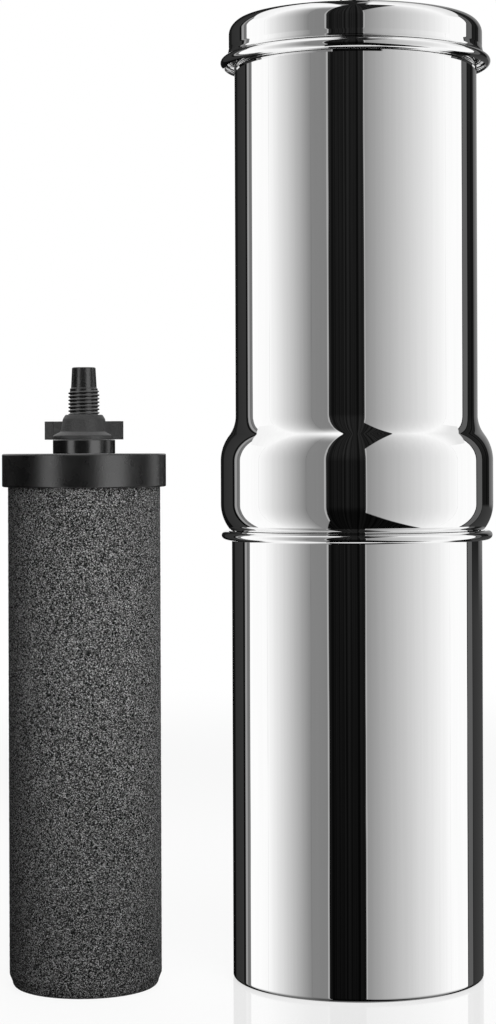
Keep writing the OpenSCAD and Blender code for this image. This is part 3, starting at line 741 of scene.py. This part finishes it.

# %% [markdown]
# ## Carbon
#
# The block is carbon powder pressed with a little plastic. Its face is a mass of grains and
# pores, from near black to light grey, with hardly any gloss. Cells of random grey stand for
# the grains, finer dust lies over them, and their borders are sunk. A power of the sum keeps
# most grains dark and lets a few sparkle. Its colour is painted darker toward its foot, as
# painted shade where less light reaches near the floor.

# %% Carbon
GRAINS_PER_M, DUST_PER_M = 3200, 3600
TONE_SHARE, DUST_SHARE, SUNK_SHARE = 0.7, 0.5, 0.3
GRAIN_LOW, GRAIN_HIGH, GRAIN_POWER = 0.1, 0.95, 3.2
CARBON_DARK, CARBON_LIGHT = 6, 255
GRAIN_BUMP = 0.1 * MM
# The painted shade at the foot: the share of the colour kept there, and the height it reaches up
# to
CARBON_FOOT_SHADE, CARBON_SHADE_H = 0.58, 120 * MM

carbon, place = new_finish("carbon")
cells = {"Vector": place, "Scale": GRAINS_PER_M}
tone = place.node("TexVoronoi", {"feature": "F1"}, cells, out="Color").parts()[0]
sunk = place.node("TexVoronoi", {"feature": "F1"}, cells, out="Distance")
dust = place.node("TexNoise", values={"Vector": place, "Scale": DUST_PER_M, "Detail": 1.0})
grain = tone * TONE_SHARE + dust * DUST_SHARE - sunk * SUNK_SHARE
share = grain.ramp(GRAIN_LOW, GRAIN_HIGH, kind="LINEAR")
# Painted shade: the carbon's colour gets darker toward the floor
foot = place.parts()[2].ramp(0, CARBON_SHADE_H, CARBON_FOOT_SHADE, 1.0, "LINEAR")
sparkle = grey(CARBON_LIGHT) * share.math("POWER", share, GRAIN_POWER)
look = {"Base Color": (grey(CARBON_DARK) + sparkle) * foot, "Roughness": 0.8,
        "Specular IOR Level": 0.06}
textured(place, look, grain, GRAIN_BUMP, strength=0.8)
print("grains of", round(1000 / GRAINS_PER_M, 2), "mm")

# %% [markdown]
# ## Plastic and rubber
#
# The caps and nuts are moulded in black plastic. The mould gives the cap a satin skin and the
# nut a coarse, spark-eroded one. The washer is soft rubber, cut from a smooth sheet that is a
# little shinier, and the tap's seats are white sealing plastic. One function makes them all: a
# fine noise for the skin, and a wide one that keeps grey and gloss from being quite even. The
# tap's metal is the vessels' steel again, blasted to satin.

# %% Plastics, rubber and satin metal
WIDE_SHARE = 12
UNEVEN_GREY, UNEVEN_ROUGHNESS = 0.2, 0.1


def moulded(name, level, roughness, grains_per_m, depth, gloss=0.5):
    """Plastic or rubber of one grey, with the fine texture of its mould."""
    made, place = new_finish(name)
    fine, wide = (place.node("TexNoise", values={"Vector": place, "Scale": scale, "Detail": 2.0})
                  for scale in (grains_per_m, grains_per_m / WIDE_SHARE))
    greys = [grey(level * (1 + way * UNEVEN_GREY)) for way in (-1, 1)]
    roughnesses = [roughness * (1 + way * UNEVEN_ROUGHNESS) for way in (-1, 1)]
    textured(place, {
        "Base Color": (fine + wide).ramp(2 * NOISE_LOW, 2 * NOISE_HIGH, *greys, "LINEAR"),
        "Roughness": wide.ramp(NOISE_LOW, NOISE_HIGH, *roughnesses, "LINEAR"),
        "Specular IOR Level": gloss,
    }, fine, depth)
    return made


# Grey, roughness, grains to the metre and their depth, and gloss
cap_plastic = moulded("cap_plastic", 14, 0.28, 1800, 0.06 * MM, 0.8)
nut_plastic = moulded("nut_plastic", 26, 0.45, 1600, 0.25 * MM, 0.8)
rubber = moulded("rubber", 14, 0.22, 900, 0.02 * MM, 0.9)
seat_plastic = moulded("seat_plastic", 228, 0.35, 900, 0.02 * MM)
tap_steel = steel_finish("tap_steel", 0.78, roughness=0.24, lines=0.01, ripple=0.03)
print("nut plastic has", len(nut_plastic.node_tree.nodes), "nodes")

# %% [markdown]
# ## The filter element
#
# A hollow block of pressed carbon is glued into a moulded cap. The cap's threaded stem goes
# through the vessel's base: a rubber washer seals it there and a wing nut draws it down. The
# element is built once in a frame of its own, with the cap's face at zero and the stem up, and
# placed twice: upside down in the upper vessel, and the right way round beside the stack.

# %% Sizes and places of the element
ELEMENT_H = 209 * MM
CARBON_R, CARBON_END_R, CARBON_EDGE = 30 * MM, 28.8 * MM, 2 * MM
CORE_R, CORE_END = 10 * MM, 18 * MM
CAP_R, CAP_H, CAP_FACE, CAP_EDGE = 32.25 * MM, 13 * MM, 3 * MM, 0.6 * MM
STEM_R, STEM_ROOT, STEM_BORE = 6.15 * MM, 5.45 * MM, 2.5 * MM
STEM_H, NOSE_H, STEM_PITCH = 34 * MM, 8.4 * MM, 1.4 * MM
NOSE_R, NOSE_TIP = 5.05 * MM, 4.55 * MM
WASHER_R, WASHER_H, WASHER_EDGE = 12.25 * MM, 5.5 * MM, 0.35 * MM
FIT = 0.05 * MM
SPARE_X, SPARE_Y = -108 * MM, -14 * MM

inside = Matrix.Translation((0, 0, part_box("fitted_end_cap")[1].z - CAP_H))
inside = inside @ Matrix.Rotation(math.pi, 4, "X")
beside = Matrix.Translation((SPARE_X, SPARE_Y, ELEMENT_H))
print("cap faces at", round(inside.translation.z / MM, 2), "and", round(ELEMENT_H / MM, 2), "mm")

# %% [markdown]
# ### The carbon block
#
# A bump in the material can't roughen the outline, so the wall is turned in many rows and each
# point is pressed in by up to a sixth of a millimetre. Only inward, because the loose grains
# mustn't reach beyond the block's real size. The core stays smooth, as its mould left it.

# %% Carbon block
GRAIN_ROW, GRAIN_CLUMP, GRAIN_DEPTH = 1.1 * MM, 1.3 * MM, 0.16 * MM


def carbon_block(name, where, body, node):
    """The block with its hollow core, and a wall of loose grains."""
    rows = int((ELEMENT_H - CAP_H) / GRAIN_ROW)
    wall_h = ELEMENT_H - CAP_H - 2 * CARBON_EDGE
    wall = [(CARBON_R, -CAP_H - wall_h * i / rows) for i in range(rows)]
    outline = [(0, CORE_END - ELEMENT_H), (CORE_R, CORE_END - ELEMENT_H), (CORE_R, -CAP_FACE)]
    outline += [(CARBON_R, -CAP_FACE)] + wall
    outline += arc((CARBON_END_R - CARBON_EDGE, CARBON_EDGE - ELEMENT_H), CARBON_EDGE, 0, -90, 6)
    outline += [(0, -ELEMENT_H)]
    block = turned(name, outline)
    for vertex in block.data.vertices:
        if math.hypot(vertex.co.x, vertex.co.y) > CORE_R + MM and vertex.co.z < -CAP_H:
            hollow = 0.5 + 0.5 * noise.noise(vertex.co / GRAIN_CLUMP)
            share = 1 - GRAIN_DEPTH * min(max(hollow, 0), 1) / CARBON_R
            vertex.co.x *= share
            vertex.co.y *= share
    return dress(placed(block, where), carbon, body, "carbon", node)


carbon_block("fitted_carbon", inside, "upper_vessel", "fitted_carbon_block")
carbon_block("spare_carbon", beside, "spare_element", "spare_carbon_block")

# %% [markdown]
# ### The cap and its stem
#
# One moulding: a shallow cup round the block's end and a hollow stem. The stem carries the
# thread and ends in a plain tapered nose, which leads the nut on. Rim and nose have small
# rounded edges, because a mould can't be perfectly sharp.

# %% End cap and stem
NOSE_EDGE, NOSE_IN, NOSE_OUT = 0.3 * MM, 0.2 * MM, 0.1 * MM


def end_cap(name, where, body, node):
    """The cap with its rim, and the stem with a moulded thread and a plain nose."""
    thread_h = STEM_H - NOSE_H
    outline = [(STEM_BORE, -CAP_FACE), (CARBON_R + FIT, -CAP_FACE), (CARBON_R + FIT, -CAP_H)]
    outline += arc((CAP_R - CAP_EDGE, CAP_EDGE - CAP_H), CAP_EDGE, -90, 0, 4)
    outline += arc((CAP_R - CAP_EDGE, -CAP_EDGE), CAP_EDGE, 0, 90, 4)
    outline += [(STEM_ROOT, 0), (STEM_ROOT, thread_h), (NOSE_R, thread_h + STEM_ROOT - NOSE_R)]
    outline += [(NOSE_TIP + NOSE_OUT, STEM_H - NOSE_EDGE), (NOSE_TIP - NOSE_IN, STEM_H)]
    outline += [(STEM_BORE + NOSE_EDGE, STEM_H), (STEM_BORE, STEM_H - NOSE_EDGE)]
    work = bmesh.new()
    spin(work, guarded(outline))
    thread_ridge(work, STEM_ROOT, STEM_R - STEM_ROOT, STEM_PITCH, 0, thread_h)
    return dress(placed(finished(name, work), where), cap_plastic, body, "cap_plastic", node)


end_cap("fitted_cap", inside, "upper_vessel", "fitted_end_cap")
end_cap("spare_cap", beside, "spare_element", "spare_end_cap")

# %% [markdown]
# ### The seal washer
#
# A thick ring punched from rubber sheet. It's soft, so its edges are never quite sharp.

# %% Seal washer
def seal_washer(name, where, body, node):
    """The ring between the cap's face and the vessel's base."""
    bore = STEM_R + FIT
    outline = [(bore, 0), (WASHER_R, 0), (WASHER_R, WASHER_H), (bore, WASHER_H)]
    washer = placed(turned(name, eased(outline, WASHER_EDGE)), where)
    return dress(washer, rubber, body, "rubber", node)


seal_washer("fitted_washer", inside, "upper_vessel", "fitted_seal_washer")
seal_washer("spare_washer", beside, "spare_element", "spare_seal_washer")

# %% [markdown]
# ## The wing nuts
#
# A finger nut moulded in one piece: a thin flange that presses on the washer, a tapered hub and
# two short wings, each with a thicker grip at its end.

# %% Wing nut
NUT_BORE = 6.23 * MM
NUT_FLANGE_R, NUT_FLANGE_H = 12.25 * MM, 1.6 * MM
NUT_HUB_R, NUT_TOP_R, NUT_H = 9.3 * MM, 7.3 * MM, 9.8 * MM
WING_SPAN, WING_H, WING_T = 30.8 * MM, 7.2 * MM, 3 * MM
GRIP_W, GRIP_STEP = 3.4 * MM, 1.2 * MM
NUT_EDGE, WING_EDGE = 0.4 * MM, 0.35 * MM
NUT_ANGLE = 14


def wing_nut(name, where, lift, body, node):
    """The nut, that much above the cap's face."""
    slope_top = NUT_FLANGE_H + (NUT_FLANGE_R - NUT_HUB_R) / 2
    hub_top = NUT_HUB_R - (NUT_HUB_R - NUT_TOP_R) / 2
    outline = [(NUT_BORE, 0), (NUT_FLANGE_R, 0), (NUT_FLANGE_R, NUT_FLANGE_H)]
    outline += [(NUT_HUB_R, slope_top), (hub_top, NUT_H - NUT_FLANGE_H)]
    outline += [(NUT_TOP_R, NUT_H), (NUT_BORE, NUT_H)]
    work = bmesh.new()
    spin(work, eased(outline, NUT_EDGE), SMALL_STEPS)
    for side in (-1, 1):
        end, half = side * WING_SPAN / 2, WING_T / 2
        root, grip = side * (NUT_HUB_R - WING_T), side * (WING_SPAN / 2 - GRIP_W)
        wide = half + GRIP_STEP
        plan = [(root, -half), (grip, -half), (grip, -wide), (end, -wide),
                (end, wide), (grip, wide), (grip, half), (root, half)]
        prism(work, plan[::side], 0, WING_H, WING_EDGE)
    nut = crisp(finished(name, work))
    turn = Matrix.Rotation(math.radians(-NUT_ANGLE), 4, "Z")
    place = where @ Matrix.Translation((0, 0, lift)) @ turn
    return dress(placed(nut, place), nut_plastic, body, "nut_plastic", node)


wing_nut("fitted_nut_wings", inside, WASHER_H + SHEET + FIT, "fitted_nut", "fitted_wing_nut")
wing_nut("spare_nut_wings", beside, WASHER_H + FIT, "spare_nut", "spare_wing_nut")

# %% [markdown]
# ## No element in the mirror
#
# The photograph's steel shows the studio's cards and no trace of the element beside it, as if
# each was lit and taken on its own. So the standing pieces are left out of reflections.

# %% The element and the mirror
for piece in bpy.data.objects:
    if piece.name.startswith("spare_"):
        piece.visible_glossy = False
print("the steel shows the studio alone")

# %% [markdown]
# ## The knob and its screw
#
# A turned and polished knob, oval in outline, on a narrow waist: on a lathe the head is one
# sweep of the tool and the waist another, so both are arcs. A screw from below holds it, with a
# washer under the lid.

# %% Knob and washer
KNOB_R, KNOB_H, KNOB_HEAD_H = 12 * MM, 24 * MM, 15 * MM
KNOB_FOOT_R, KNOB_FOOT_H, KNOB_WAIST_R = 7 * MM, 1 * MM, 5 * MM
KNOB_HEAD_START = -58
KNOB_EDGE, KNOB_TOP_EDGE = 0.3 * MM, 0.2 * MM
KNOB_WASHER_R, KNOB_WASHER_T, KNOB_WASHER_EDGE = 5 * MM, 0.8 * MM, 0.15 * MM


def at_height(z):
    return Matrix.Translation((0, 0, z))


head = arc((0, KNOB_H - KNOB_HEAD_H / 2), KNOB_R, KNOB_HEAD_START, 90, 48, KNOB_HEAD_H / 2)
foot = [(0, 0), (KNOB_FOOT_R - KNOB_EDGE, 0), (KNOB_FOOT_R, KNOB_EDGE)]
foot += [(KNOB_FOOT_R, KNOB_FOOT_H - KNOB_TOP_EDGE), (KNOB_FOOT_R - KNOB_TOP_EDGE, KNOB_FOOT_H)]
sweep = KNOB_FOOT_R - KNOB_WAIST_R - KNOB_TOP_EDGE
foot += arc((KNOB_WAIST_R + sweep, KNOB_FOOT_H + sweep), sweep, -90, -180, 8)[1:]
knob = placed(turned("lid_knob_steel", foot + head[:-1] + [(0, KNOB_H)]), at_height(lid_top))
dress(knob, polished_steel, "lid_assembly", "polished_steel", "lid_knob")

washer_z = lid_top - SHEET - KNOB_WASHER_T
outline = [(KNOB_HOLE_R, 0), (KNOB_WASHER_R, 0)]
outline += [(KNOB_WASHER_R, KNOB_WASHER_T), (KNOB_HOLE_R, KNOB_WASHER_T)]
washer = turned("lid_knob_washer_steel", eased(outline, KNOB_WASHER_EDGE), SMALL_STEPS)
washer = placed(washer, at_height(washer_z))
dress(washer, tap_steel, "lid_assembly", "tap_steel", "lid_knob_washer")

# %% [markdown]
# ## Screws with a socket
#
# The heads have a six-sided socket for a key. Such a shape is still turned here: each ring may
# be cut by a hexagon of a given half width, so the socket's rings become hexagons while the
# head's stay round. The screws' threads are always hidden, so their shanks are plain.

# %% The knob's screw
# A half width so large that it cuts nothing, and the corners of a hexagon over its half width
ROUND = 1.0
CORNER_REACH = 1.16
HEAD_EDGE, SHANK_EDGE = 0.3 * MM, 0.4 * MM
# Each screw: radius and height of its shank, the same of its head, and the socket's width
KNOB_SCREW = (2 * MM, 12 * MM, 3.8 * MM, 2.2 * MM, 2.5 * MM)
LEVER_SCREW = (1.25 * MM, 8.9 * MM, 3.45 * MM, 1.8 * MM, 2.2 * MM)


def socket_screw(name, shank_r, shank_h, head_r, head_h, socket_w):
    """A screw with its head at zero and down, and a hexagonal socket in the head."""
    half, deep = socket_w / 2, head_h / 2
    reach = half * CORNER_REACH
    points = [(0, deep - head_h, half), (reach, deep - head_h, half), (reach, -head_h, half)]
    points += [(r, z, ROUND) for r, z in (
        (head_r - HEAD_EDGE, -head_h), (head_r, HEAD_EDGE - head_h), (head_r, 0), (shank_r, 0),
        (shank_r, shank_h - SHANK_EDGE), (shank_r - SHANK_EDGE, shank_h), (0, shank_h))]
    work = bmesh.new()
    spin(work, points, SMALL_STEPS)
    return finished(name, work)


screw = placed(socket_screw("lid_knob_screw_steel", *KNOB_SCREW), at_height(washer_z))
dress(screw, tap_steel, "lid_assembly", "tap_steel", "lid_knob_screw")

# %% [markdown]
# ## The tap
#
# A quarter-turn ball tap of satin stainless steel, through a hole low in the back of the lower
# vessel. Its shank is threaded, with a lock nut and washers inside. A ball with a hole turns in
# the barrel, on a spindle that the lever turns. The housing is two turned shapes in one piece:
# the barrel with its shank and bore, and the boss for the spindle, which stands across it.

# %% The tap's body
TAP_Z = 46 * MM
SHANK_END, LOCK_NUT_Y, FLANGE_Y, BARREL_Y = 35.6 * MM, 45.1 * MM, 53 * MM, 56 * MM
VALVE_Y, BALL_Y, THREAD_Y, BARREL_END = 65.5 * MM, 74 * MM, 82.5 * MM, 89.5 * MM
SHANK_R, SHANK_ROOT, SHANK_PITCH, SHANK_BORE = 8 * MM, 7.2 * MM, 1.5 * MM, 4 * MM
FLANGE_R, BARREL_R, VALVE_BORE, SPOUT_BORE = 13 * MM, 12.05 * MM, 8.2 * MM, 9.55 * MM
BOSS_R, BOSS_BORE, BOSS_H, BOSS_START = 7.78 * MM, 5.38 * MM, 19.95 * MM, 9 * MM
TAP_EDGE = 0.5 * MM


def along_tap(y):
    """The frame of a piece whose axis runs backward through the tap."""
    return Matrix.Translation((0, y, TAP_Z)) @ Matrix.Rotation(math.radians(-90), 4, "X")


def over_ball(z):
    return Matrix.Translation((0, BALL_Y, TAP_Z + z))


work = bmesh.new()
outline = [
    (SHANK_BORE, SHANK_END), (SHANK_ROOT, SHANK_END), (SHANK_ROOT, FLANGE_Y),
    (FLANGE_R, FLANGE_Y), (FLANGE_R, BARREL_Y), (BARREL_R, BARREL_Y),
    (BARREL_R, BARREL_END), (SPOUT_BORE, BARREL_END), (SPOUT_BORE, THREAD_Y),
    (VALVE_BORE, THREAD_Y), (VALVE_BORE, VALVE_Y), (SHANK_BORE, VALVE_Y),
]
spin(work, guarded(eased(outline, TAP_EDGE)), PART_STEPS)
thread_ridge(work, SHANK_ROOT, SHANK_R - SHANK_ROOT, SHANK_PITCH, SHANK_END, FLANGE_Y)
work.transform(along_tap(0))
boss = bmesh.new()
outline = [(BOSS_BORE, BOSS_START), (BOSS_R, BOSS_START), (BOSS_R, BOSS_H), (BOSS_BORE, BOSS_H)]
spin(boss, guarded(eased(outline, TAP_EDGE)), SMALL_STEPS)
boss.transform(over_ball(0))
boss_mesh = bpy.data.meshes.new("boss")
boss.to_mesh(boss_mesh)
work.from_mesh(boss_mesh)
dress(finished("tap_body_steel", work), tap_steel, "lower_vessel", "tap_steel", "tap_body")

# %% [markdown]
# ### Nuts with six sides
#
# Nuts are sawn from hexagonal bar, and a turning tool then cuts their corners back at both
# faces. That leaves a curved line on each side, which the same hexagon cut of the rings gives.
# The gland nut has a round part below, which presses on the O-ring in the boss.

# %% Lock nut and gland nut
NUT_CORNER_CUT, NUT_BORE_EDGE, NUT_SHARP = 0.45 * MM, 0.3 * MM, 20
LOCK_NUT_BORE, LOCK_NUT_HALF, LOCK_NUT_T = 8.05 * MM, 11 * MM, 5 * MM
GLAND_BORE, GLAND_HALF, GLAND_LOW, GLAND_HIGH = 3.08 * MM, 6.53 * MM, 5.8 * MM, 9.8 * MM
GLAND_Z, GLAND_R = 14.15 * MM, 5.33 * MM


def hexagon_nut(name, node, bore, half, low, high, where, collar=None):
    """A nut with corners cut back at both faces; the collar is a round part below it."""
    corner, cut = half / math.cos(math.pi / 6), NUT_CORNER_CUT
    points = [(bore, low, ROUND), (half, low, ROUND), (corner, low + cut, half)]
    points += [(corner, high - cut, half), (half, high, ROUND)]
    points += [(bore + NUT_BORE_EDGE, high, ROUND), (bore, high - NUT_BORE_EDGE, ROUND)]
    if collar:
        points[:1] = [(bore, 0, ROUND), (collar, 0, ROUND), (collar, low, ROUND)]
    work = bmesh.new()
    spin(work, points, PART_STEPS)
    nut = placed(finished(name, work, NUT_SHARP), where)
    return dress(nut, tap_steel, "lower_vessel", "tap_steel", node)


hexagon_nut("lock_nut_steel", "tap_lock_nut", LOCK_NUT_BORE, LOCK_NUT_HALF, 0, LOCK_NUT_T,
            along_tap(LOCK_NUT_Y - LOCK_NUT_T))
hexagon_nut("gland_nut_steel", "tap_gland_nut", GLAND_BORE, GLAND_HALF, GLAND_LOW, GLAND_HIGH,
            over_ball(GLAND_Z), GLAND_R)

# %% [markdown]
# ### The lever
#
# The lever is a flat bar with a round end on a turned hub. A screw from above holds it on the
# spindle's square. It rides on the same body as the ball and the spindle, so the whole valve
# turns with it.

# %% Lever and its screw
LEVER_Z, LEVER_H, LEVER_T, LEVER_L = 24.15 * MM, 5 * MM, 2.6 * MM, 42 * MM
LEVER_END_W, LEVER_NECK_W, LEVER_HUB = 10 * MM, 7 * MM, 6.5 * MM
HUB_EDGE = 0.6 * MM

work = bmesh.new()
hub = [(0, 0), (LEVER_HUB, 0), (LEVER_HUB, LEVER_H), (0, LEVER_H)]
spin(work, guarded(eased(hub, HUB_EDGE)), SMALL_STEPS)
end_x = LEVER_L - LEVER_END_W / 2
round_end = arc((end_x, 0), LEVER_END_W / 2, -90, 90, 24)
plan = [(0, -LEVER_NECK_W / 2), *round_end, (0, LEVER_NECK_W / 2)]
prism(work, plan, LEVER_H - LEVER_T, LEVER_H, TAP_EDGE)
lever = placed(crisp(finished("tap_lever_steel", work)), over_ball(LEVER_Z))
dress(lever, tap_steel, "tap_valve", "tap_steel", "tap_lever")
head_down = over_ball(LEVER_Z + LEVER_H) @ Matrix.Rotation(math.pi, 4, "X")
screw = placed(socket_screw("tap_lever_screw_steel", *LEVER_SCREW), head_down)
dress(screw, tap_steel, "tap_valve", "tap_steel", "tap_lever_screw")

# %% [markdown]
# ### The spout
#
# A bent tube on an end piece that screws into the barrel. It is made as in the workshop: the
# straight tube is turned first, in short steps, and then bent. Each point's way along the tube
# says where on the bend it comes to lie.

# %% Spout
SPOUT_R, SPOUT_HOLE, BEND_Y, BEND_R, DROP = 6 * MM, 4 * MM, 93.5 * MM, 12 * MM, 14 * MM
SPOUT_THREAD_R, COLLAR_H, LIP = 9.5 * MM, 10 * MM, 0.5 * MM
LIP_IN_SHARE = 0.3
BEND_STEP = 1.2 * MM


def along_spout(point):
    """Bends a straight tube: back through the tap, round the bend and down."""
    x, up, way = point
    lead, round_way = BEND_Y - THREAD_Y, math.pi / 2 * BEND_R
    if way <= lead:
        return x, THREAD_Y + way, TAP_Z + up
    if way <= lead + round_way:
        turn, reach = (way - lead) / BEND_R, BEND_R + up
        return x, BEND_Y + reach * math.sin(turn), TAP_Z - BEND_R + reach * math.cos(turn)
    return x, BEND_Y + BEND_R + up, TAP_Z - BEND_R - (way - lead - round_way)


def stepped(low, high, radius):
    """Points up a straight wall, close enough together to bend."""
    count = max(1, round(abs(high - low) / BEND_STEP))
    return [(radius, low + (high - low) * i / count) for i in range(count + 1)]


spout_l = BEND_Y - THREAD_Y + math.pi / 2 * BEND_R + DROP
thread_h, lip_in = BARREL_END - THREAD_Y, LIP * LIP_IN_SHARE
outline = [(SPOUT_HOLE, 0), (SPOUT_THREAD_R, 0), (SPOUT_THREAD_R, thread_h)]
outline += arc((BARREL_R - LIP, thread_h + LIP), LIP, -90, 0, 4)
outline += arc((BARREL_R - LIP, COLLAR_H - LIP), LIP, 0, 90, 4)
outline += stepped(COLLAR_H, spout_l - LIP, SPOUT_R)
outline += [(SPOUT_R - lip_in, spout_l - lip_in), (SPOUT_R - LIP, spout_l)]
outline += [(SPOUT_HOLE + LIP, spout_l)] + stepped(spout_l - LIP, 0, SPOUT_HOLE)[:-1]
work = bmesh.new()
spin(work, outline, SMALL_STEPS)
for vertex in work.verts:
    vertex.co = along_spout(vertex.co)
dress(finished("tap_spout_steel", work), tap_steel, "lower_vessel", "tap_steel", "tap_spout")

# %% [markdown]
# ## Pieces that stay as they are
#
# Washers, seats, the ball and the spindle are out of sight inside the tap, or so plain that the
# CAD model already has their true shape. They keep it and only get a finish.

# %% Finishes of the CAD model's own pieces
OWN_FINISH = {
    "tap_outer_washer": rubber, "tap_inner_washer": rubber, "tap_o_ring": rubber,
    "tap_inner_seat": seat_plastic, "tap_outer_seat": seat_plastic,
    "tap_ball": polished_steel, "tap_spindle": tap_steel,
}
for name, finish in OWN_FINISH.items():
    nodes[name].data.materials.clear()
    nodes[name].data.materials.append(finish)
print(len(OWN_FINISH), "pieces keep the CAD model's shape")
